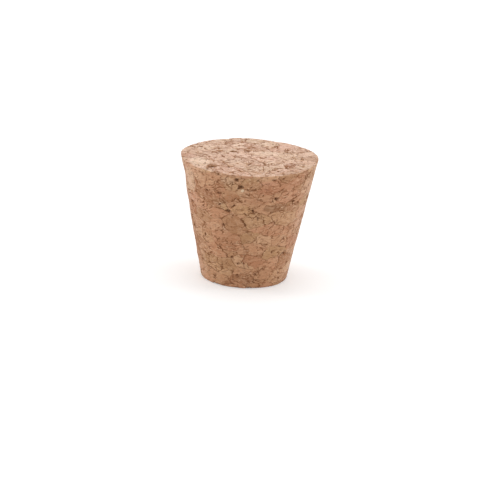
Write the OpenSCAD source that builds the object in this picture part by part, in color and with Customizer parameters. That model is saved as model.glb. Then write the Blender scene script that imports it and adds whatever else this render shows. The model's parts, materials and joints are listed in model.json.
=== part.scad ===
// Stopper of pressed cork: a straight taper, large end up.
// The granules that it is pressed from meet in seams. Some seams are open as
// crevices, some crumbs are torn out as pits, and the rims are rubbed and chipped.
// Millimetres, +Z up, origin at the centre of the small end's face.

/* [Stopper] */
// Diameter of the large end, across its unworn corner
top_d = 22.1; // [18:0.1:40]
// Diameter of the small end, across its unworn corner
bottom_d = 13.8; // [10:0.1:17]
// Length from end to end
length = 20; // [14:0.5:40]
// Radius of the worn edge round the large end
top_edge = 0.15; // [0.1:0.05:0.6]
// Radius of the worn edge round the small end
bottom_edge = 0.4; // [0.1:0.05:0.6]

/* [Granules] */
// Width of a granule
granule_w = 4; // [2.5:0.1:6]
// Height of a granule
granule_h = 2.9; // [2:0.1:6]
// Width of the seam between two granules
seam_w = 0.2; // [0.1:0.02:0.4]
// Depth of the seam between two granules
seam_depth = 0.25; // [0.1:0.05:0.5]
// Share of the seams that are open
seam_share = 0.45; // [0.1:0.05:1]
// Random draw that lays out the granules
layout_seed = 7; // [1:1:50]

/* [Crevices, pits and pores] */
// Width of a crevice at its middle
crevice_w = 0.36; // [0.2:0.02:0.6]
// Depth of a crevice
crevice_depth = 0.55; // [0.3:0.05:1]
// Depth of a pit where a crumb is torn out
pit_depth = 0.6; // [0.3:0.05:1]
// Diameter of a pore
pore_d = 0.5; // [0.3:0.05:0.8]
// Depth of a pore
pore_depth = 0.35; // [0.2:0.05:0.6]
// Number of pores in each square centimetre
pore_count = 3; // [0:0.5:6]

/* [Rims] */
// How far the largest rubbed flat reaches in from the large rim
flat = 0.35; // [0.1:0.05:0.6]
// Depth of a chip in a rim
chip_depth = 0.45; // [0.2:0.05:0.8]

/* [Hidden] */
$fn = 64;
top_r = top_d / 2;
bottom_r = bottom_d / 2;
taper = (top_r - bottom_r) / length;
slope = atan(taper);
// Radius of the middle of each end, which has no seam, pit or pore
plain_r = 1;
// How far a granule's corner strays from its place, as a share of the way to the next one
corner_stray = 0.32;
// Share of the way between two corners that an open seam covers
seam_cover = 0.75;
// How far the width of a cut, and its outline, stray from their mean
width_stray = 0.25;
// Height of a pit as a share of its width
pit_aspect = 0.8;
// Width of a chip across the corner of a rim
chip_reach = 1.5 * chip_depth;

// Crevices in the front of the side, from the large end down:
// angle round the axis, distance below the large end, length, turn from level
side_crevices = [
    [228, 0.8, 1.2, -32], [278, 0.7, 0.8, 42], [292, 0.7, 1.0, -12], [301, 0.6, 0.6, 20],
    [273, 1.9, 0.8, 25], [270, 2.4, 0.6, -50], [231, 3.4, 0.9, -16], [243, 3.5, 1.0, -26],
    [284, 3.4, 0.6, 30], [236, 3.9, 0.6, -42], [317, 4.0, 1.0, 22], [268, 4.4, 0.6, 60],
    [318, 5.0, 1.0, -16], [325, 5.4, 0.8, -8], [244, 5.4, 0.9, 16], [257, 5.5, 1.8, 38],
    [276, 6.2, 1.2, -78], [269, 6.7, 1.0, -36], [224, 6.4, 0.7, 30], [208, 5.2, 1.4, -65],
    [347, 1.9, 0.7, -60]];
// Pits in the front of the side: angle, distance below the large end, width
side_pits = [[264, 2.0, 1.1], [260, 0.8, 1.0], [252, 6.4, 1.2], [297, 4.1, 1.1]];
// Crevices in the large end: angle, share of its radius, length, turn
top_crevices = [
    [85, 0.52, 1.6, -62], [84, 0.71, 0.8, 80], [59, 0.64, 1.0, 88], [55, 0.73, 1.0, 70],
    [118, 0.72, 1.1, 75], [130, 0.72, 0.9, 60], [166, 0.48, 1.0, 85], [132, 0.34, 1.4, 4],
    [154, 0.94, 1.0, -70], [156, 0.85, 0.9, 80], [152, 0.75, 1.0, -80], [145, 0.63, 0.9, 75],
    [25, 0.84, 1.5, -76], [1, 0.78, 1.1, 88], [351, 0.17, 0.9, 80], [11, 0.24, 0.8, -60],
    [189, 0.59, 0.9, 85], [192, 0.50, 0.7, -70], [186, 0.37, 0.8, 90], [209, 0.59, 0.8, -80],
    [217, 0.47, 0.8, 70], [283, 0.20, 1.6, -60], [304, 0.39, 1.9, -68], [270, 0.37, 2.1, 72],
    [318, 0.44, 1.0, 80], [321, 0.70, 2.3, -70], [335, 0.87, 1.2, 60], [240, 0.59, 2.0, -78],
    [261, 0.75, 1.6, -62], [303, 0.68, 1.2, 84]];
// Pits in the large end: angle, share of its radius, width
top_pits = [[225, 0.76, 1.9], [150, 0.51, 1.0], [96, 0.33, 1.0], [24, 0.78, 0.8]];
// Rubbed flats on the large rim: angle, share of the largest
rim_flats = [[68, 1], [300, 0.3]];
// Chips in the large rim and in the small one: angle, width
top_chips = [[34, 1.4], [96, 1.2], [244, 1.5], [281, 0.9], [326, 1.8], [205, 1.1]];
bottom_chips = [[20, 1.2], [75, 0.9], [130, 1.6], [215, 1.1], [262, 1.3], [310, 0.8]];

// Radius of the side at a height
function side_r(z) = bottom_r + taper * z;

// Random numbers from -1 to 1, the same ones each time for one seed
function draws(count, seed) = rands(-1, 1, count, layout_seed + seed);

// Points along an arc from one angle to another
function arc(centre, r, from, to, steps = 3) =
    [for (i = [0:steps]) let (a = from + (to - from) * i / steps) centre + r * [cos(a), sin(a)]];

// Half section of the plain stopper, from its axis out
module half_section() {
    low = [bottom_r + bottom_edge * (tan(slope) - 1 / cos(slope)), bottom_edge];
    high = [top_r - top_edge * (tan(slope) + 1 / cos(slope)), length - top_edge];
    polygon(concat(
        [[0, length], [0, 0]],
        arc(low, bottom_edge, -90, -slope),
        arc(high, top_edge, -slope, 90)));
}

// Lays its children on the side: +Z out of it, +X round the axis, +Y up
module on_side(angle, z) {
    rotate([0, 0, angle])
        translate([side_r(z), 0, z])
            rotate([90, 0, 90])
                rotate([slope, 0, 0])
                    children();
}

// Lays its children on the large end: +Z out of it
module on_top(angle = 0, r = 0) {
    translate([r * cos(angle), r * sin(angle), length]) children();
}

// Lays its children on the small end: +Z out of it
module on_bottom(angle = 0, r = 0) {
    mirror([0, 0, 1]) translate([r * cos(angle), r * sin(angle), 0]) children();
}

// Lays its children on the corner of an end of radius r: +Z out of it, +X round it
module on_rim(angle, r) {
    rotate([0, 0, angle]) translate([r, 0, 0]) rotate([0, 45, 0]) rotate([0, 0, 90]) children();
}

// Plug that narrows down to a point, with an uneven outline, l by w where it meets the surface
module plug(l, w, depth, seed, sides = 6) {
    above = depth / 2;
    uneven = draws(sides, seed);
    rim = [for (i = [0:sides - 1]) let (a = 360 * i / sides)
        [l * cos(a), w * (1 + width_stray * uneven[i]) * sin(a)] / 2 * (1 + above / depth)];
    lid = [for (i = [sides - 1:-1:0]) i];
    polyhedron(
        points = concat([for (point = rim) [point.x, point.y, above]], [[0, 0, -depth]]),
        faces = concat([lid], [for (i = [0:sides - 1]) [i, (i + 1) % sides, sides]]));
}

// Width of one cut of a kind, near the mean width of that kind
function stray(w, seed) = w * (1 + width_stray * draws(1, seed)[0]);

// Seam between two corners, which stops short of both
module seam(from, to, seed) {
    run = to - from;
    translate((from + to) / 2)
        rotate([0, 0, atan2(run.y, run.x)])
            plug(seam_cover * norm(run), stray(seam_w, seed), seam_depth, seed, sides = 4);
}

module crevice(l, turn, seed) {
    rotate([0, 0, turn]) plug(l, stray(crevice_w, seed), crevice_depth, seed);
}

module pit(w, seed) {
    plug(w, pit_aspect * w, pit_depth, seed, sides = 9);
}

module pore(seed) {
    plug(pore_d, stray(pore_d, seed), pore_depth, seed);
}

module chip(w, seed) {
    plug(w, chip_reach, chip_depth, seed);
}

// Seams round the granules of the side, which lie like uneven bricks
module side_seams() {
    columns = 2 * round(PI * (top_r + bottom_r) / granule_w);
    rows = max(2, round(length / granule_h));
    count = 2 * (rows + 1) * columns;
    wander = draws(count, 0);
    open = rands(0, 1, count, layout_seed + 1);
    // Place of a corner in the random numbers, and the corner as [angle, height]
    function place(i, j) = 2 * (j * columns + i % columns);
    function corner(i, j) =
        let (n = place(i, j), up = j > 0 && j < rows ? corner_stray * wander[n + 1] : 0)
        [(i + corner_stray * wander[n]) * 360 / columns, (j + up) * length / rows];
    module join(a, b, n) {
        middle = (a + b) / 2;
        half = [(b.x - a.x) * PI / 180 * side_r(middle.y), (b.y - a.y) / cos(slope)] / 2;
        if (open[n] < seam_share) on_side(middle.x, middle.y) seam(-half, half, n);
    }
    for (i = [0:columns - 1], j = [0:rows - 1]) {
        if (j > 0) join(corner(i, j), corner(i + 1, j), place(i, j));
        if ((i + j) % 2 == 0) join(corner(i, j), corner(i, j + 1), place(i, j) + 1);
    }
}

// Seams round the granules of an end of radius r
module end_seams(r, seed) {
    columns = 2 * ceil(r / granule_w) + 2;
    rows = ceil(r / granule_h) + 1;
    count = 2 * (2 * columns + 1) * (2 * rows + 1);
    wander = draws(count, seed);
    open = rands(0, 1, count, layout_seed + seed + 1);
    // Place of a corner in the random numbers, and the corner as [x, y]
    function place(i, j) = 2 * ((j + rows) * (2 * columns + 1) + i + columns);
    function corner(i, j) = let (n = place(i, j))
        [(i + corner_stray * wander[n]) * granule_w / 2, (j + corner_stray * wander[n + 1]) * granule_h];
    module join(a, b, n) {
        out = norm(a + b) / 2;
        if (open[n] < seam_share && out > plain_r + granule_h / 2 && out < r) seam(a, b, n);
    }
    for (i = [-columns:columns - 1], j = [-rows:rows - 1]) {
        join(corner(i, j), corner(i + 1, j), place(i, j));
        if ((i + j) % 2 == 0) join(corner(i, j), corner(i, j + 1), place(i, j) + 1);
    }
}

// Pores spread evenly over the side
module side_pores() {
    count = round(pore_count * PI * (top_r + bottom_r) * length / 100);
    angle = draws(count, 2);
    height = rands(pore_d, length - pore_d, count, layout_seed + 3);
    for (i = [0:1:count - 1]) on_side(180 * angle[i], height[i]) pore(i);
}

// Pores spread evenly over an end of radius r
module end_pores(r, seed) {
    count = round(pore_count * PI * r * r / 100);
    angle = draws(count, seed);
    area = rands(pow(plain_r + pore_d, 2), pow(r - pore_d, 2), count, layout_seed + seed + 1);
    for (i = [0:1:count - 1])
        translate(sqrt(area[i]) * [cos(180 * angle[i]), sin(180 * angle[i])]) pore(i);
}

// Front of the side as it wore: its open crevices and torn pits
module side_wear() {
    for (i = [0:len(side_crevices) - 1]) {
        c = side_crevices[i];
        on_side(c[0], length - c[1]) crevice(c[2], c[3], i);
    }
    for (i = [0:len(side_pits) - 1]) {
        p = side_pits[i];
        on_side(p[0], length - p[1]) pit(p[2], i);
    }
}

// Large end as it wore: its open crevices, torn pits, rubbed flats and chips
module top_wear() {
    for (i = [0:len(top_crevices) - 1]) {
        c = top_crevices[i];
        on_top(c[0], c[1] * top_r) crevice(c[2], c[3], i);
    }
    for (i = [0:len(top_pits) - 1]) {
        p = top_pits[i];
        on_top(p[0], p[1] * top_r) pit(p[2], i);
    }
    for (f = rim_flats)
        on_top() on_rim(f[0], top_r - f[1] * flat) translate([-top_r, -top_r, 0]) cube(top_d);
    for (i = [0:len(top_chips) - 1])
        on_top() on_rim(top_chips[i][0], top_r) chip(top_chips[i][1], i);
}

// Small end as it wore: its chips
module bottom_wear() {
    for (i = [0:len(bottom_chips) - 1])
        on_bottom() on_rim(bottom_chips[i][0], bottom_r) chip(bottom_chips[i][1], i);
}

module stopper() {
    color("burlywood")
        difference() {
            rotate_extrude() half_section();
            side_seams();
            side_pores();
            side_wear();
            on_top() end_seams(top_r, 4);
            on_top() end_pores(top_r, 6);
            top_wear();
            on_bottom() end_seams(bottom_r, 8);
            on_bottom() end_pores(bottom_r, 10);
            bottom_wear();
        }
}

stopper();
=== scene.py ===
"""Stopper of pressed cork: its body with open seams, crevices, torn pits and a grain of granules.

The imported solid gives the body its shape. A blank is turned from a cone, pressed onto that solid,
and then takes the relief of its granules. Relief and finish are laid by the same classes, so that
they agree. Sizes are in metres, and all that belongs to a pattern is in millimetres.
"""

import json
import logging
import math
from collections.abc import Sequence
from dataclasses import dataclass
from enum import Enum

import bpy
from mathutils import Matrix, Vector

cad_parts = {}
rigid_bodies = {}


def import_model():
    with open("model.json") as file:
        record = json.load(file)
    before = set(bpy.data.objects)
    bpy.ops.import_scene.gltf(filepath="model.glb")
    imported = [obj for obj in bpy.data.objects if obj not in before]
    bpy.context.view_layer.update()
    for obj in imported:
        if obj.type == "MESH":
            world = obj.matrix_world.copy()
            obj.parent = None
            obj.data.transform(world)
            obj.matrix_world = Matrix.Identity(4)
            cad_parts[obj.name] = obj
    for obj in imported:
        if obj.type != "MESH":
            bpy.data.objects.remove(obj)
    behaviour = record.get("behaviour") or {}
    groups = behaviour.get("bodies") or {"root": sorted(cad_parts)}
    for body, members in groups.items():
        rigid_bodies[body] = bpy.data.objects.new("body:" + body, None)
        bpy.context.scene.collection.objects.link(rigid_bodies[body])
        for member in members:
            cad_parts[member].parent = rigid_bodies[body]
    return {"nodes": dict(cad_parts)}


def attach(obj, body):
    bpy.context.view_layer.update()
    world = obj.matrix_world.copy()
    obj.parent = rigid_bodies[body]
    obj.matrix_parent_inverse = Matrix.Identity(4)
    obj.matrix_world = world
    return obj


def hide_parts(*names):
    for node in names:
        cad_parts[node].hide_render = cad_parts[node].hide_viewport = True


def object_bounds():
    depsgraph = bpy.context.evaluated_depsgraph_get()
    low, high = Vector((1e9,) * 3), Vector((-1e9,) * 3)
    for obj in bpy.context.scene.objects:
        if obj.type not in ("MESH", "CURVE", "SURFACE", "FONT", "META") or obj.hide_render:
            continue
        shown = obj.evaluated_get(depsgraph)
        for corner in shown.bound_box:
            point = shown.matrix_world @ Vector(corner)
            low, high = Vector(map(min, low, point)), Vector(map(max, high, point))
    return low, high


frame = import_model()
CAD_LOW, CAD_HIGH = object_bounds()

LOG = logging.getLogger("stopper")
MM = 0.001
NODE = "stopper"
CUT = "cut_depth"
WHITE = (1.0, 1.0, 1.0, 1.0)

# The middle of what a noise or a random colour gives.
HALF = 0.5
MIDDLE = (HALF, HALF, HALF)

# The side that patches and bumps are placed on. The taper is radius lost for each length.
HEIGHT_MM = 20.0
RIM_R_MM = 11.0
TAPER = 0.2

Socket = bpy.types.NodeSocket
Value = Socket | Vector | float | tuple[float, ...]
Triple = tuple[float, float, float]


class Tint(Enum):
    """Colours that single granules differ by; pale also serves for painted sheen, and black for
    painted shade in a pit.
    """

    PALE = (0.68, 0.44, 0.27)
    CREAM = (0.80, 0.62, 0.42)
    PINK = (0.60, 0.29, 0.17)
    OCHRE = (0.52, 0.29, 0.12)
    ROSE = (0.43, 0.175, 0.085)
    RUST = (0.36, 0.15, 0.062)
    RED = (0.31, 0.12, 0.055)
    BROWN = (0.22, 0.105, 0.045)
    DARK = (0.12, 0.045, 0.018)
    BLACK = (0.04, 0.016, 0.007)


class Face(Enum):
    """Faces of the stopper."""

    SIDE = "side"
    LARGE_END = "large end"


class Part(Enum):
    """Parts of a mesh that can be selected, by their name in edit mode."""

    VERTEX = "VERT"
    EDGE = "EDGE"


class Gives(Enum):
    """What a noise or a pattern of cells gives, by its place among the node's outputs."""

    NUMBER = 0
    COLOUR = 1


class Distance(Enum):
    """What a pattern of cells measures to, by its name in the node."""

    CENTRE = "F1"
    EDGE = "DISTANCE_TO_EDGE"


def only(thing: bpy.types.Object) -> None:
    """Selects one object alone and makes it active.

    Args:
        thing: The object.
    """
    bpy.ops.object.select_all(action="DESELECT")
    thing.select_set(True)
    bpy.context.view_layer.objects.active = thing


def edit_parts(thing: bpy.types.Object, kind: Part, chosen: Sequence[bool]) -> None:
    """Opens an object in edit mode with some of its parts selected.

    Args:
        thing: The object.
        kind: The kind of part.
        chosen: Whether each part of that kind is selected, in the mesh's own order.
    """
    only(thing)
    bpy.ops.object.mode_set(mode="EDIT")
    bpy.ops.mesh.select_mode(type=kind.value)
    bpy.ops.mesh.select_all(action="DESELECT")
    bpy.ops.object.mode_set(mode="OBJECT")
    parts = thing.data.edges if kind is Part.EDGE else thing.data.vertices
    for part, selected in zip(parts, chosen):
        part.select = selected
    bpy.ops.object.mode_set(mode="EDIT")


def apply_modifier(thing: bpy.types.Object, kind: str, **settings: object) -> None:
    """Adds a modifier to an object, sets it and applies it.

    Args:
        thing: The object.
        kind: The modifier's type.
        **settings: The modifier's own settings.
    """
    only(thing)
    modifier = thing.modifiers.new(kind.lower(), kind)
    for name, value in settings.items():
        setattr(modifier, name, value)
    bpy.ops.object.modifier_apply(modifier=modifier.name)


def on_side(angle: float, below: float) -> Vector:
    """Gives a place on the side, in millimetres.

    Args:
        angle: Its angle round the axis, in radians.
        below: Its distance below the large end.

    Returns:
        The place.
    """
    r = RIM_R_MM - TAPER * below
    return Vector((r * math.cos(angle), r * math.sin(angle), HEIGHT_MM - below))


class Desk:
    """Lays nodes in one tree, each with its inputs set or linked."""

    def __init__(self, tree: bpy.types.NodeTree) -> None:
        """Takes the tree and empties it."""
        self.tree = tree
        tree.nodes.clear()

    def put(
        self, kind: str, inputs: dict[int | str, Value] | None = None, **settings: object
    ) -> bpy.types.Node:
        """Lays one node.

        Args:
            kind: The node's type.
            inputs: What goes into its sockets, by name or place: a value, or a socket to link.
            **settings: The node's own settings.

        Returns:
            The node.
        """
        node = self.tree.nodes.new(kind)
        for name, value in settings.items():
            setattr(node, name, value)
        for key, value in (inputs or {}).items():
            if isinstance(value, Socket):
                self.tree.links.new(value, node.inputs[key])
            else:
                node.inputs[key].default_value = value
        return node

    def scalar(self, operation: str, *values: Value) -> Socket:
        """Does one sum on numbers.

        Args:
            operation: The sum, by its name in the Math node.
            *values: Its numbers, in order.

        Returns:
            The result.
        """
        return self.put("ShaderNodeMath", dict(enumerate(values)), operation=operation).outputs[0]

    def vector(self, operation: str, *values: Value) -> Socket:
        """Does one sum on vectors.

        Args:
            operation: The sum, by its name in the Vector Math node.
            *values: Its vectors, in order; the number that scales one goes last.

        Returns:
            The result, a number where the sum gives one.
        """
        inputs = dict(enumerate(values))
        if operation == "SCALE":
            inputs = {0: values[0], "Scale": values[1]}
        node = self.put("ShaderNodeVectorMath", inputs, operation=operation)
        return node.outputs["Value" if operation == "LENGTH" else "Vector"]

    def split(self, vector: Socket) -> list[Socket]:
        """Gives a vector's or a colour's three numbers."""
        return list(self.put("ShaderNodeSeparateXYZ", {0: vector}).outputs)

    def spread(
        self, value: Value, start: float, end: float, low: float = 0.0, high: float = 1.0
    ) -> Socket:
        """Brings a number smoothly from one range to another, and keeps it there.

        Args:
            value: The number.
            start: Where its range starts, which may be above its end.
            end: Where its range ends.
            low: What it gives at the start.
            high: What it gives at the end.

        Returns:
            The number in its new range.
        """
        inputs = {0: value, 1: start, 2: end, 3: low, 4: high}
        return self.put("ShaderNodeMapRange", inputs, interpolation_type="SMOOTHSTEP").outputs[0]

    def noise(
        self,
        at: Socket,
        per_mm: float,
        detail: float = 2.0,
        roughness: float = 0.5,
        gives: Gives = Gives.NUMBER,
    ) -> Socket:
        """Lays a noise pattern.

        Args:
            at: The place, in millimetres.
            per_mm: How many features there are in a millimetre.
            detail: How many finer layers it has.
            roughness: How strong the finer layers are.
            gives: Whether it gives a number or a colour.

        Returns:
            The pattern.
        """
        inputs = {"Vector": at, "Scale": per_mm, "Detail": detail, "Roughness": roughness}
        return self.put("ShaderNodeTexNoise", inputs).outputs[gives.value]

    def cells(
        self,
        at: Socket,
        per_mm: float,
        to: Distance = Distance.CENTRE,
        gives: Gives = Gives.NUMBER,
    ) -> Socket:
        """Lays a pattern of cells.

        Args:
            at: The place, in millimetres.
            per_mm: How many cells there are in a millimetre.
            to: What it measures the distance to.
            gives: Whether it gives that distance or the cell's own random colour.

        Returns:
            The pattern.
        """
        inputs = {"Vector": at, "Scale": per_mm}
        node = self.put("ShaderNodeTexVoronoi", inputs, feature=to.value)
        return node.outputs[gives.value]

    def mix(self, share: Value, under: Value, over: Triple) -> Socket:
        """Mixes a share of a plain colour into another.

        Args:
            share: How much of the plain colour goes in.
            under: The other colour.
            over: The plain colour.

        Returns:
            The mixed colour.
        """
        # A Mix node has sockets for each kind of data: its colours go in at 6 and 7, out at 2.
        inputs = {0: share, 6: under, 7: (*over, 1)}
        return self.put("ShaderNodeMix", inputs, data_type="RGBA").outputs[2]


@dataclass(frozen=True)
class Wander:
    """A random push about: how many there are in a millimetre, and how far they go."""

    per_mm: float
    amount: float

    def push(self, desk: Desk, at: Socket, by: Socket) -> Socket:
        """Pushes a place about.

        Args:
            desk: Where the nodes go.
            at: The place to push.
            by: The place that the push depends on.

        Returns:
            The pushed place.
        """
        noise = desk.noise(by, self.per_mm, gives=Gives.COLOUR)
        push = desk.vector("SUBTRACT", noise, MIDDLE)
        return desk.vector("ADD", at, desk.vector("SCALE", push, self.amount))


@dataclass(frozen=True)
class Drift:
    """An amount that changes over the surface, from low to high as its noise goes start to end."""

    per_mm: float
    start: float
    end: float
    low: float = 0.0
    high: float = 1.0
    detail: float = 2.0

    def lay(self, desk: Desk, at: Socket) -> Socket:
        """Lays the amount at a place."""
        noise = desk.noise(at, self.per_mm, self.detail)
        return desk.spread(noise, self.start, self.end, self.low, self.high)


@dataclass(frozen=True)
class Granules:
    """One size of granule in the field that the stopper is pressed from.

    Seams are open gaps between granules, and lines are the thin outlines of the closed ones. Both
    have their width here, and the gaps say where the seams are open.
    """

    per_mm: float
    seam_w: float
    line_w: float
    gaps: Drift

    def colour(self, desk: Desk, place: Socket) -> Socket:
        """Gives each granule a random colour of its own."""
        return desk.cells(place, self.per_mm, gives=Gives.COLOUR)

    def near_edge(self, desk: Desk, place: Socket, width: float) -> Socket:
        """Tells how near the granule's edge is, from 0 to 1.

        Args:
            desk: Where the nodes go.
            place: The place in this field of granules.
            width: How far from the edge it fades out, in millimetres.

        Returns:
            The share, 1 at the edge.
        """
        cells = desk.cells(place, self.per_mm, Distance.EDGE)
        distance = desk.scalar("DIVIDE", cells, self.per_mm)
        return desk.spread(distance, 0, width, 1, 0)

    def seam(self, desk: Desk, at: Socket, place: Socket) -> Socket:
        """Tells where the seams are open, from 0 to 1.

        Args:
            desk: Where the nodes go.
            at: The place, in millimetres.
            place: The place in this field of granules.

        Returns:
            The share, 1 in the middle of an open seam.
        """
        near = self.near_edge(desk, place, self.seam_w)
        return desk.scalar("MULTIPLY", near, self.gaps.lay(desk, at))


COARSE = Granules(0.3, 0.13, 0.1, Drift(0.6, 0.47, 0.6, detail=3))
FLAKES = Granules(1.0, 0.1, 0.06, Drift(0.8, 0.52, 0.64, detail=3))


class Field:
    """The field of granules and of the flakes in them, laid once in a tree.

    Granules lie flat and their outlines wander. Flakes and growth lines turn with their granule.
    """

    FLATTEN = (1.0, 1.0, 1.7)
    BENDS = (Wander(0.35, 1.5), Wander(1.6, 0.5), Wander(4.0, 0.16))
    TILT = (1.1, 1.1, math.tau)
    FLAKE_STRETCH = (0.5, 0.7, 1.4)

    def __init__(self, desk: Desk, at: Socket) -> None:
        """Lays the field.

        Args:
            desk: Where the nodes go.
            at: The place, in millimetres.
        """
        self.desk = desk
        self.at = at
        bent = desk.vector("MULTIPLY", at, self.FLATTEN)
        for step in self.BENDS:
            bent = step.push(desk, bent, bent)
        self.bent = bent
        cell = COARSE.colour(desk, bent)
        self.own = desk.split(cell)
        turn = desk.vector("MULTIPLY", desk.vector("SUBTRACT", cell, MIDDLE), self.TILT)
        inputs = {"Vector": bent, "Rotation": turn}
        rotate = desk.put("ShaderNodeVectorRotate", inputs, rotation_type="EULER_XYZ")
        self.turned = rotate.outputs[0]
        self.flake = desk.vector("MULTIPLY", self.turned, self.FLAKE_STRETCH)


@dataclass(frozen=True)
class Pits:
    """Small pits where crumbs are torn out at random, away from the solid's own.

    They lie low on the side and all over its back, and keep off the large end. A pit's floor and
    rim are distances from its middle, where its cell is 1 across. Low side, back and under end say
    where pits start and where they are all there, by height, by place to the back and by height.
    """

    per_mm: float = 1.1
    share: float = 0.1
    share_fade: float = 0.02
    floor: float = 0.2
    rim: float = 0.42
    wander: Wander = Wander(2.2, 0.7)
    low_side: tuple[float, float] = (13.5, 12.5)
    back: tuple[float, float] = (0.0, 1.5)
    under_end: tuple[float, float] = (19.6, 19.2)

    def mask(self, desk: Desk, at: Socket) -> Socket:
        """Tells where the pits are, from 0 to 1.

        Args:
            desk: Where the nodes go.
            at: The place, in millimetres.

        Returns:
            The share, 1 in the middle of a pit.
        """
        torn = self.wander.push(desk, at, at)
        draw = desk.split(desk.cells(torn, self.per_mm, gives=Gives.COLOUR))[0]
        others = 1 - self.share
        chosen = desk.spread(draw, others, others + self.share_fade)
        near = desk.spread(desk.cells(torn, self.per_mm), self.floor, self.rim, 1, 0)
        _, y, z = desk.split(at)
        away = desk.scalar("MAXIMUM", desk.spread(z, *self.low_side), desk.spread(y, *self.back))
        away = desk.scalar("MULTIPLY", away, desk.spread(z, *self.under_end))
        return desk.scalar("MULTIPLY", desk.scalar("MULTIPLY", chosen, near), away)


@dataclass(frozen=True)
class Bump:
    """A swelling or a dent in the side, by its angle in degrees, the rest in millimetres."""

    across: float
    along: float
    reach: float
    out: float

    def height(self, desk: Desk, at: Socket) -> Socket:
        """Tells how far the bump stands out at a place.

        Args:
            desk: Where the nodes go.
            at: The place, in millimetres.

        Returns:
            The height, in millimetres.
        """
        centre = on_side(math.radians(self.across), self.along)
        distance = desk.vector("LENGTH", desk.vector("SUBTRACT", at, centre))
        return desk.spread(distance, 0, self.reach, self.out, 0)


BUMPS = (
    Bump(19, 0.5, 4.8, 0.42),
    Bump(36, 0.5, 3.0, 0.25),
    Bump(99, 0.4, 2.6, 0.2),
    Bump(165, 0.5, 3.5, 0.2),
    Bump(184, 3.2, 3.2, -0.2),
)


@dataclass(frozen=True)
class Relief:
    """Relief of the granules: a modifier built from nodes, which leaves the ends flat.

    Depths and heights are in millimetres. Far is a distance in metres that is past all of it.
    """

    name: str = "granule_relief"
    coarse_depth: float = 0.12
    fine_depth: float = 0.07
    pit_depth: float = 0.25
    step: float = 0.05
    swell: float = 0.25
    swell_per_mm: float = 0.25
    grain: float = 0.09
    grain_per_mm: float = 1.1
    grain_detail: float = 3.0
    grain_roughness: float = 0.6
    wander: tuple[Wander, ...] = (Wander(1.3, 0.22), Wander(3.1, 0.1))
    far: float = 1.0

    def height(self, field: Field) -> Socket:
        """Adds up all that raises or lowers the surface.

        Args:
            field: The granules.

        Returns:
            The height, in millimetres.
        """
        desk, at = field.desk, field.at
        swell = desk.noise(at, self.swell_per_mm)
        grain = desk.noise(at, self.grain_per_mm, self.grain_detail, self.grain_roughness)
        height: Value = 0.0
        for size, pattern in (
            (-self.coarse_depth, COARSE.seam(desk, at, field.bent)),
            (-self.fine_depth, FLAKES.seam(desk, at, field.flake)),
            (-self.pit_depth, Pits().mask(desk, at)),
            (self.step, desk.scalar("SUBTRACT", field.own[2], HALF)),
            (self.swell, desk.scalar("SUBTRACT", swell, HALF)),
            (self.grain, desk.scalar("SUBTRACT", grain, HALF)),
        ):
            height = desk.scalar("MULTIPLY_ADD", pattern, size, height)
        for bump in BUMPS:
            height = desk.scalar("ADD", height, bump.height(desk, at))
        return height

    def tree(self, length: float) -> bpy.types.NodeTree:
        """Builds the modifier's node tree.

        Args:
            length: The stopper's length, which the relief keeps.

        Returns:
            The tree.
        """
        tree = bpy.data.node_groups.new(self.name, "GeometryNodeTree")
        for way in ("INPUT", "OUTPUT"):
            tree.interface.new_socket("Geometry", in_out=way, socket_type="NodeSocketGeometry")
        desk = Desk(tree)
        mesh = desk.put("NodeGroupInput").outputs[0]
        place = desk.put("GeometryNodeInputPosition").outputs[0]
        normal = desk.put("GeometryNodeInputNormal").outputs[0]
        at = desk.vector("SCALE", place, 1 / MM)
        moved = desk.vector("ADD", at, desk.vector("SCALE", normal, self.height(Field(desk, at))))
        wandered = moved
        for step in self.wander:
            wandered = step.push(desk, wandered, at)
        along = desk.vector("PROJECT", desk.vector("SUBTRACT", wandered, moved), normal)
        place = desk.vector("SCALE", desk.vector("SUBTRACT", wandered, along), MM)
        # Only the height is held to its range, so that both ends stay flat.
        place = desk.vector("MAXIMUM", place, (-self.far, -self.far, 0.0))
        place = desk.vector("MINIMUM", place, (self.far, self.far, length))
        shaped = desk.put("GeometryNodeSetPosition", {"Geometry": mesh, "Position": place})
        desk.put("NodeGroupOutput", {0: shaped.outputs[0]})
        return tree


@dataclass(frozen=True)
class Patch:
    """One granule that stands out by its tint, or a spot of painted sheen or painted shade: an
    uneven spot on a face.

    On the side, across is the angle round the axis in degrees and along is the distance below the
    large end. On the large end, they are the place itself. Turn is in degrees, the rest in
    millimetres. The edge goes from outside to inside, as a part of the half width.
    """

    face: Face
    across: float
    along: float
    width: float
    height: float
    turn: float
    tint: Tint
    share: float
    most_depth: float = 0.8
    edge: tuple[float, float] = (1.1, 0.85)

    def pose(self) -> tuple[Vector, Matrix]:
        """Places the patch on its face.

        Returns:
            Its centre, in millimetres, and how it's turned.
        """
        spin = Matrix.Rotation(math.radians(self.turn), 3, "Z")
        if self.face is Face.LARGE_END:
            return Vector((self.across, self.along, HEIGHT_MM)), spin
        angle = math.radians(self.across)
        about = Matrix.Rotation(angle + math.pi / 2, 3, "Z")
        upright = Matrix.Rotation(math.pi / 2, 3, "X")
        return on_side(angle, self.along), about @ upright @ spin

    def mask(self, desk: Desk, at: Socket) -> Socket:
        """Tells how far a place is in the patch, from 0 to 1.

        Args:
            desk: Where the nodes go.
            at: The place, in millimetres.

        Returns:
            The share.
        """
        centre, turned = self.pose()
        half_w, half_h = self.width / 2, self.height / 2
        inputs = {
            "Vector": at,
            "Location": centre,
            "Rotation": turned.to_euler(),
            "Scale": (half_w, half_h, min(half_w, half_h, self.most_depth)),
        }
        local = desk.put("ShaderNodeMapping", inputs, vector_type="TEXTURE").outputs[0]
        return desk.spread(desk.vector("LENGTH", local), *self.edge)


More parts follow.
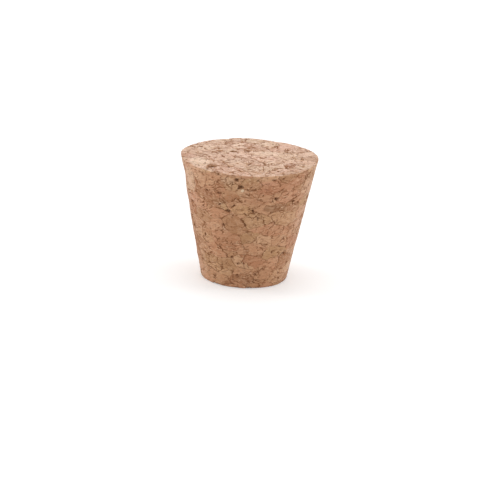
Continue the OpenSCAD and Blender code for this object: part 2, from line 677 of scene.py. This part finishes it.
PATCHES = (
    # A pale wash over all of the large end: painted sheen and light, for a top lit from above and
    # seen at a grazing angle.
    Patch(Face.LARGE_END, 0, 0, 26, 26, 0, Tint.PALE, 0.12),
    Patch(Face.LARGE_END, -7.9, -3.8, 3.2, 4.8, 10, Tint.PALE, 0.85),
    Patch(Face.LARGE_END, -7.4, 4.4, 3.2, 3.0, 0, Tint.PALE, 0.4),
    Patch(Face.LARGE_END, 2.8, 2.3, 4.2, 2.6, 0, Tint.PALE, 0.45),
    Patch(Face.LARGE_END, -2.5, -2.4, 3.4, 3.0, 0, Tint.PALE, 0.3),
    Patch(Face.LARGE_END, 2.5, -2.4, 3.4, 2.8, 30, Tint.PALE, 0.2),
    Patch(Face.LARGE_END, -1.8, 6.4, 2.0, 3.2, 0, Tint.PALE, 0.5),
    Patch(Face.LARGE_END, 6.1, 6.9, 3.0, 3.0, 0, Tint.PINK, 0.5),
    Patch(Face.LARGE_END, 6.4, 1.8, 4.0, 5.5, 0, Tint.OCHRE, 0.35),
    Patch(Face.LARGE_END, 6.7, -3.6, 2.2, 2.8, -20, Tint.RED, 0.75),
    Patch(Face.LARGE_END, 0.6, 5.6, 2.2, 2.0, 0, Tint.RED, 0.4),
    Patch(Face.LARGE_END, 3.6, 6.0, 3.0, 2.4, 0, Tint.ROSE, 0.4),
    Patch(Face.LARGE_END, -5.9, -5.9, 1.8, 2.4, 0, Tint.DARK, 0.3),
    Patch(Face.LARGE_END, -7.7, 0.0, 2.6, 2.0, 0, Tint.BROWN, 0.3),
    Patch(Face.LARGE_END, -2.5, 2.8, 1.6, 0.9, 0, Tint.DARK, 0.5),
    Patch(Face.SIDE, 282, 3.0, 8.0, 5.0, 0, Tint.ROSE, 0.38),
    Patch(Face.SIDE, 310, 3.0, 4.0, 5.0, 0, Tint.ROSE, 0.25),
    # Pale at the side's left and right edges as the camera sees them: partly pale granules, partly
    # painted sheen where the side turns away from the view.
    Patch(Face.SIDE, 208, 2.6, 3.0, 4.8, 5, Tint.PALE, 0.6),
    Patch(Face.SIDE, 331, 2.4, 2.2, 3.8, -8, Tint.PALE, 0.3),
    Patch(Face.SIDE, 210, 5.6, 2.6, 2.0, 20, Tint.PINK, 0.4),
    Patch(Face.SIDE, 221, 1.6, 3.2, 1.1, 6, Tint.PALE, 0.15),
    Patch(Face.SIDE, 252, 1.0, 2.4, 1.2, 0, Tint.PALE, 0.6),
    Patch(Face.SIDE, 231, 4.0, 2.2, 1.6, -10, Tint.RED, 0.45),
    Patch(Face.SIDE, 256, 4.1, 2.8, 1.5, 12, Tint.RUST, 0.7),
    Patch(Face.SIDE, 288, 1.3, 3.6, 0.8, 0, Tint.PINK, 0.6),
    Patch(Face.SIDE, 290, 2.65, 4.4, 1.1, 4, Tint.ROSE, 0.85),
    Patch(Face.SIDE, 298, 5.7, 4.4, 1.6, 0, Tint.BROWN, 0.6),
    Patch(Face.SIDE, 265, 6.1, 3.6, 1.9, 0, Tint.OCHRE, 0.45),
    Patch(Face.SIDE, 245, 4.9, 2.6, 1.2, 10, Tint.BROWN, 0.4),
    Patch(Face.SIDE, 317, 5.9, 3.0, 1.5, 0, Tint.RED, 0.5),
    Patch(Face.SIDE, 335, 5.7, 2.6, 1.8, 0, Tint.OCHRE, 0.4),
    Patch(Face.SIDE, 299, 4.2, 1.0, 0.6, 0, Tint.DARK, 0.2),
    Patch(Face.SIDE, 265.5, 2.5, 0.7, 0.5, 0, Tint.CREAM, 0.8),
    # Black in the main pit: partly dark tissue, partly painted shade in the pit.
    Patch(Face.SIDE, 264, 2.0, 1.2, 0.5, 20, Tint.BLACK, 0.95),
)


@dataclass(frozen=True)
class Wash:
    """A colour that goes in as a pattern goes from start to end, up to its share."""

    start: float
    end: float
    share: float
    colour: Triple

    def over(
        self, desk: Desk, under: Socket, pattern: Socket, amount: Value | None = None
    ) -> Socket:
        """Lays the wash over a colour.

        Args:
            desk: Where the nodes go.
            under: The colour.
            pattern: The pattern that the wash follows.
            amount: What its share is multiplied by, if anything.

        Returns:
            The washed colour.
        """
        share = desk.spread(pattern, self.start, self.end, 0, self.share)
        if amount is not None:
            share = desk.scalar("MULTIPLY", share, amount)
        return desk.mix(share, under, self.colour)


@dataclass(frozen=True)
class Grain:
    """Streaks or spots inside the granules, which turn with them.

    Its features in a millimetre differ along the granule's three axes.
    """

    per_mm: Triple
    detail: float
    roughness: float
    washes: tuple[Wash, Wash]
    drift: Drift | None = None

    def over(self, field: Field, under: Socket) -> Socket:
        """Lays the grain over a colour.

        Args:
            field: The granules.
            under: The colour.

        Returns:
            The grained colour.
        """
        desk = field.desk
        place = desk.vector("MULTIPLY", field.turned, self.per_mm)
        pattern = desk.noise(place, 1.0, self.detail, self.roughness)
        amount = self.drift.lay(desk, field.at) if self.drift else None
        for wash in self.washes:
            under = wash.over(desk, under, pattern, amount)
        return under


GROWTH_LINES = Grain(
    per_mm=(0.5, 1.0, 4.5),
    detail=3,
    roughness=0.65,
    washes=(
        Wash(0.5, 0.75, 0.28, (0.66, 0.41, 0.25)),
        Wash(0.5, 0.25, 0.3, (0.28, 0.125, 0.055)),
    ),
)
MOTTLE = Grain(
    per_mm=(0.8, 1.1, 1.8),
    detail=5,
    roughness=0.72,
    washes=(
        Wash(0.5, 0.72, 0.12, (0.26, 0.11, 0.05)),
        Wash(0.5, 0.3, 0.2, (0.62, 0.38, 0.23)),
    ),
)
FLECKS = Grain(
    per_mm=(1.6, 3.0, 4.5),
    detail=2,
    roughness=0.6,
    washes=(
        Wash(0.54, 0.7, 0.24, (0.26, 0.11, 0.05)),
        Wash(0.48, 0.32, 0.55, (0.70, 0.45, 0.28)),
    ),
    drift=Drift(0.5, 0.42, 0.6, 0.35, 1.4),
)


@dataclass(frozen=True)
class CorkFinish:
    """Pressed cork: pinkish tan granules, each with its tint and growth lines, in dark seams."""

    name: str = "pressed_cork"
    tints: tuple[tuple[float, Triple], ...] = (
        (0.0, (0.345, 0.152, 0.067)),
        (0.12, (0.393, 0.178, 0.08)),
        (0.3, (0.436, 0.207, 0.097)),
        (0.5, (0.48, 0.243, 0.117)),
        (0.75, (0.51, 0.253, 0.129)),
        (0.9, (0.528, 0.272, 0.138)),
        (1.0, (0.576, 0.33, 0.178)),
    )
    granule_washes: tuple[Wash, Wash] = (
        Wash(0.55, 1, 0.5, (0.50, 0.21, 0.105)),
        Wash(0.4, 0, 0.5, (0.48, 0.28, 0.125)),
    )
    flake_washes: tuple[Wash, Wash] = (
        Wash(0.5, 1, 0.2, (0.62, 0.36, 0.21)),
        Wash(0.45, 0, 0.2, (0.30, 0.135, 0.06)),
    )
    patch_wander: tuple[Wander, ...] = (Wander(1.4, 0.5), Wander(4.0, 0.2))
    crumbs: Wash = Wash(0.9, 0.94, 1.0, (0.24, 0.095, 0.04))
    crumbs_per_mm: float = 2.3
    crumb_wander: Wander = Wander(2.6, 0.7)
    crumb_drift: Drift = Drift(0.45, 0.38, 0.58, 0.0, 0.4)
    seam_colour: Triple = (0.17, 0.062, 0.02)
    flake_seam_share: float = 1.0
    coarse_seam_share: float = 0.85
    line_colour: Triple = (0.2, 0.08, 0.03)
    line_drift: Drift = Drift(1.3, 0.44, 0.56, 0.0, 0.75)
    # Cuts and torn pits darken with their depth: partly dark tissue, partly painted shade.
    cut_tissue_and_shade: Triple = (0.13, 0.05, 0.021)
    cut_depths: tuple[float, float] = (0.08, 0.4)
    cut_drift: Drift = Drift(3.5, 0.38, 0.58, 0.35, 0.92)
    dark_shade: float = 0.08
    pale_shade: float = 0.32
    dark_roughness: float = 1.0
    pale_roughness: float = 0.44
    specular: float = 0.4
    bump_per_mm: float = 3.2
    bump_detail: float = 3.0
    bump_roughness: float = 0.65
    bump_strength: float = 0.6
    bump_depth: float = 0.1 * MM

    def tint(self, field: Field) -> Socket:
        """Gives each granule, and each flake in it, its tint.

        Args:
            field: The granules.

        Returns:
            The colour.
        """
        desk = field.desk
        ramp = desk.put("ShaderNodeValToRGB", {0: field.own[0]})
        elements = ramp.color_ramp.elements
        for i, (stop, tint) in enumerate(self.tints):
            element = elements[i] if i < len(elements) else elements.new(stop)
            element.position = stop
            element.color = (*tint, 1)
        colour = ramp.outputs[0]
        for wash in self.granule_washes:
            colour = wash.over(desk, colour, field.own[1])
        flake = desk.split(FLAKES.colour(desk, field.flake))[0]
        for wash in self.flake_washes:
            colour = wash.over(desk, colour, flake)
        return colour

    def patch(self, field: Field, colour: Socket) -> Socket:
        """Lays the single granules that stand out, and the spots of painted sheen and painted
        shade.

        Args:
            field: The granules.
            colour: The colour under them.

        Returns:
            The colour with them.
        """
        desk = field.desk
        place = field.at
        for step in self.patch_wander:
            place = step.push(desk, place, field.at)
        for patch in PATCHES:
            share = desk.scalar("MULTIPLY", patch.mask(desk, place), patch.share)
            colour = desk.mix(share, colour, patch.tint.value)
        return colour

    def darken(self, field: Field, colour: Socket) -> Socket:
        """Lays dark crumbs, open seams, thin outlines, and then darkens all that is cut or torn,
        more with its depth: partly dark tissue, partly painted shade.

        Args:
            field: The granules.
            colour: The colour under them.

        Returns:
            The colour with them.
        """
        desk, at = field.desk, field.at
        torn = self.crumb_wander.push(desk, at, at)
        crumb = desk.split(desk.cells(torn, self.crumbs_per_mm, gives=Gives.COLOUR))[0]
        colour = self.crumbs.over(desk, colour, crumb, self.crumb_drift.lay(desk, at))
        for granules, place, share in (
            (FLAKES, field.flake, self.flake_seam_share),
            (COARSE, field.bent, self.coarse_seam_share),
        ):
            seam = desk.scalar("MULTIPLY", granules.seam(desk, at, place), share)
            colour = desk.mix(seam, colour, self.seam_colour)
        drawn = self.line_drift.lay(desk, at)
        for granules, place in ((FLAKES, field.flake), (COARSE, field.bent)):
            line = granules.near_edge(desk, place, granules.line_w)
            colour = desk.mix(desk.scalar("MULTIPLY", line, drawn), colour, self.line_colour)
        # Darkening by the depth of the cuts and in the torn pits: partly dark tissue, partly
        # painted shade.
        depth = desk.put("ShaderNodeAttribute", attribute_name=CUT).outputs["Fac"]
        cut = desk.spread(depth, *self.cut_depths)
        cut = desk.scalar("MAXIMUM", cut, Pits().mask(desk, at))
        cut = desk.scalar("MULTIPLY", cut, self.cut_drift.lay(desk, at))
        return desk.mix(cut, colour, self.cut_tissue_and_shade)

    def shade(self, field: Field, colour: Socket) -> None:
        """Lays the shader, rougher where the cork is dark, with a fine bump.

        Args:
            field: The granules.
            colour: The cork's colour.
        """
        desk = field.desk
        grey = desk.put("ShaderNodeRGBToBW", {0: colour}).outputs[0]
        rough = desk.spread(
            grey, self.dark_shade, self.pale_shade, self.dark_roughness, self.pale_roughness
        )
        height = desk.noise(field.at, self.bump_per_mm, self.bump_detail, self.bump_roughness)
        inputs = {"Strength": self.bump_strength, "Distance": self.bump_depth, "Height": height}
        normal = desk.put("ShaderNodeBump", inputs).outputs[0]
        inputs = {
            "Base Color": colour,
            "Roughness": rough,
            "Specular IOR Level": self.specular,
            "Normal": normal,
        }
        shader = desk.put("ShaderNodeBsdfPrincipled", inputs)
        desk.put("ShaderNodeOutputMaterial", {0: shader.outputs[0]})

    def material(self) -> bpy.types.Material:
        """Builds the material.

        Returns:
            The material.
        """
        material = bpy.data.materials.new(self.name)
        material.use_nodes = True
        desk = Desk(material.node_tree)
        place = desk.put("ShaderNodeTexCoord").outputs["Object"]
        field = Field(desk, desk.vector("SCALE", place, 1 / MM))
        colour = self.patch(field, self.tint(field))
        for grain in (GROWTH_LINES, MOTTLE, FLECKS):
            colour = grain.over(field, colour)
        self.shade(field, self.darken(field, colour))
        return material


@dataclass
class StopperBody:
    """The stopper's one piece, from a turned blank to its finish."""

    name: str = "cork_body"
    large_r: float = 11.05 * MM
    small_r: float = 6.9 * MM
    length: float = HEIGHT_MM * MM
    large_edge: float = 0.18 * MM
    small_edge: float = 0.33 * MM
    edge_steps: int = 4
    rim_within: float = 0.02 * MM
    facets: int = 256
    voxel: float = 0.175 * MM
    reach: float = 0.9 * MM
    cut_from: float = 0.03 * MM

    def turn_blank(self) -> bpy.types.Object:
        """Turns the plain taper, with rounded rims, and lays an even net of faces on it.

        Returns:
            The blank.
        """
        bpy.ops.object.select_all(action="DESELECT")
        bpy.ops.mesh.primitive_cone_add(
            vertices=self.facets,
            radius1=self.small_r,
            radius2=self.large_r,
            depth=self.length,
            location=(0, 0, self.length / 2),
        )
        blank = bpy.context.object
        blank.name = self.name
        blank.data.name = self.name
        bpy.ops.object.transform_apply(location=True, rotation=True, scale=True)
        self.round_rim(blank, 0, self.small_edge)
        self.round_rim(blank, self.length, self.large_edge)
        apply_modifier(blank, "REMESH", mode="VOXEL", voxel_size=self.voxel)
        return blank

    def round_rim(self, blank: bpy.types.Object, height: float, edge: float) -> None:
        """Bevels the rim at one height.

        Args:
            blank: The blank.
            height: Where the rim is.
            edge: How far the bevel reaches from the corner.
        """
        mesh = blank.data
        on_rim = [abs(vertex.co.z - height) < self.rim_within for vertex in mesh.vertices]
        rim = [all(on_rim[v] for v in side.vertices) for side in mesh.edges]
        edit_parts(blank, Part.EDGE, rim)
        bpy.ops.mesh.bevel(offset=edge, segments=self.edge_steps)
        bpy.ops.object.mode_set(mode="OBJECT")

    def press(self, body: bpy.types.Object, solid: bpy.types.Object) -> None:
        """Presses a body onto the solid, along its own normals.

        Args:
            body: The body.
            solid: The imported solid.
        """
        apply_modifier(
            body,
            "SHRINKWRAP",
            target=solid,
            wrap_method="PROJECT",
            use_positive_direction=True,
            use_negative_direction=True,
            project_limit=self.reach,
        )

    def refine_cuts(self, blank: bpy.types.Object, solid: bpy.types.Object) -> None:
        """Gives the blank finer faces where the solid is cut.

        Args:
            blank: The blank.
            solid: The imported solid.
        """
        only(blank)
        bpy.ops.object.duplicate()
        trial = bpy.context.object
        self.press(trial, solid)
        pairs = zip(blank.data.vertices, trial.data.vertices)
        cut = [(plain.co - pressed.co).length > self.cut_from for plain, pressed in pairs]
        bpy.data.objects.remove(trial)
        edit_parts(blank, Part.VERTEX, cut)
        bpy.ops.mesh.select_more()
        bpy.ops.mesh.subdivide(number_cuts=1)
        bpy.ops.object.mode_set(mode="OBJECT")

    def build(self) -> bpy.types.Object:
        """Builds the body and dresses it.

        Returns:
            The finished piece.
        """
        solid = frame["nodes"][NODE]
        body = self.turn_blank()
        self.refine_cuts(body, solid)
        plain = [vertex.co.copy() for vertex in body.data.vertices]
        self.press(body, solid)
        cut = body.data.attributes.new(CUT, "FLOAT", "POINT")
        depths = [(a - b.co).length / MM for a, b in zip(plain, body.data.vertices)]
        cut.data.foreach_set("value", depths)
        apply_modifier(body, "NODES", node_group=Relief().tree(self.length))
        only(body)
        bpy.ops.object.shade_smooth()
        self.dress(body)
        return body

    def dress(self, body: bpy.types.Object) -> None:
        """Gives the body its finish and its place in the frame.

        Args:
            body: The body.
        """
        body.data.materials.clear()
        body.data.materials.append(CorkFinish().material())
        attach(body, "root")
        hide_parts(NODE)


@dataclass(frozen=True)
class Lamp:
    """A soft round lamp, its width in metres and its power in watts."""

    name: str
    place: Triple
    width: float
    power: float

    def hang(self, aim: Vector) -> None:
        """Hangs the lamp.

        Args:
            aim: The place that it faces.
        """
        light = bpy.data.lights.new(self.name, "AREA")
        light.shape = "DISK"
        light.size = self.width
        light.energy = self.power
        lamp = bpy.data.objects.new(self.name, light)
        bpy.context.scene.collection.objects.link(lamp)
        lamp.location = self.place
        lamp.rotation_euler = (aim - Vector(self.place)).to_track_quat("-Z", "Y").to_euler()
        lamp.visible_camera = False


LAMPS = (
    Lamp("overhead", (0, 0.1, 0.9), 0.6, 1.5),
    Lamp("behind", (0, 0.95, 0.29), 0.5, 1.2),
    Lamp("front", (0, -1.3, 0.25), 0.8, 2.0),
    Lamp("left", (-0.92, 0.15, 0.25), 0.5, 2.9),
    Lamp("right", (0.92, 0.15, 0.25), 0.5, 2.5),
)


@dataclass
class Studio:
    """Floor, surroundings, lamps and camera."""

    floor_size: float = 8.0
    floor_tone: float = 0.8
    floor_glow: float = 0.3
    sky: float = 0.72
    lamps_aim: Triple = (0, 0, 0.01)
    distance: float = 0.6
    elevation: float = math.radians(16.35)
    roll: float = math.radians(2.85)
    lens: float = 268.7
    sensor: float = 36.0
    clip_start: float = 0.01
    frame_w: float = 500.0
    frame_h: float = 496.0
    aim_px: tuple[float, float] = (249.4, 157.1)

    def seen(self, desk: Desk) -> Socket:
        """Tells the rays by which a background is seen from those that light the stopper.

        Args:
            desk: Where the nodes go.

        Returns:
            1 for the camera's own rays and those in gloss or through glass, else 0.
        """
        path = desk.put("ShaderNodeLightPath").outputs
        seen = desk.scalar("MAXIMUM", path["Is Camera Ray"], path["Is Glossy Ray"])
        return desk.scalar("MAXIMUM", seen, path["Is Transmission Ray"])

    def lay_floor(self) -> None:
        """Lays the floor, white where it's seen and darker in the shadow."""
        bpy.ops.object.select_all(action="DESELECT")
        bpy.ops.mesh.primitive_plane_add(size=self.floor_size)
        floor = bpy.context.object
        floor.name = "floor"
        material = bpy.data.materials.new("floor_paint")
        material.use_nodes = True
        desk = Desk(material.node_tree)
        tone = (self.floor_tone, self.floor_tone, self.floor_tone, 1)
        paint = desk.put("ShaderNodeBsdfDiffuse", {"Color": tone}).outputs[0]
        strength = desk.scalar("MULTIPLY", self.seen(desk), self.floor_glow)
        glow = desk.put("ShaderNodeEmission", {"Color": WHITE, "Strength": strength}).outputs[0]
        both = desk.put("ShaderNodeAddShader", {0: paint, 1: glow})
        desk.put("ShaderNodeOutputMaterial", {0: both.outputs[0]})
        floor.data.materials.append(material)

    def hang_sky(self) -> None:
        """Surrounds the stopper with even light, white where it's seen."""
        world = bpy.data.worlds.new("studio")
        bpy.context.scene.world = world
        world.use_nodes = True
        desk = Desk(world.node_tree)
        strength = desk.scalar("MULTIPLY_ADD", self.seen(desk), 1 - self.sky, self.sky)
        sky = desk.put("ShaderNodeBackground", {"Color": WHITE, "Strength": strength})
        desk.put("ShaderNodeOutputWorld", {0: sky.outputs[0]})

    def set_camera(self) -> None:
        """Sets the camera on the middle of the large end, rolled and aimed as the view needs."""
        back = Vector((0, -math.cos(self.elevation), math.sin(self.elevation)))
        right = Vector((1, 0, 0))
        up = back.cross(right)
        rolled = Matrix.Rotation(self.roll, 3, back)
        turned = Matrix((rolled @ right, rolled @ up, back)).transposed().to_quaternion()
        lens_px = self.lens / self.sensor * self.frame_w
        across, down = self.aim_px
        aim = Vector((across - self.frame_w / 2, self.frame_h / 2 - down, -lens_px)).normalized()
        ahead = Vector((0, 0, -1))
        camera = bpy.data.objects.new("camera", bpy.data.cameras.new("camera"))
        bpy.context.scene.collection.objects.link(camera)
        camera.data.lens = self.lens
        camera.data.clip_start = self.clip_start
        camera.location = Vector((0, 0, CAD_HIGH.z)) + back * self.distance
        camera.rotation_euler = (turned @ aim.rotation_difference(ahead)).to_euler()
        bpy.context.scene.camera = camera

    def build(self) -> None:
        """Builds all of the studio."""
        self.lay_floor()
        self.hang_sky()
        for lamp in LAMPS:
            lamp.hang(Vector(self.lamps_aim))
        self.set_camera()
        bpy.context.scene.view_settings.view_transform = "Standard"


def main() -> None:
    """Builds the stopper and the studio, and reports each."""
    logging.basicConfig(level=logging.INFO, format="%(name)s: %(message)s")
    body = StopperBody().build()
    LOG.info("%s: %d faces", body.name, len(body.data.polygons))
    Studio().build()
    LOG.info("studio: floor, sky, lamps and camera")


if __name__ == "__main__":
    main()
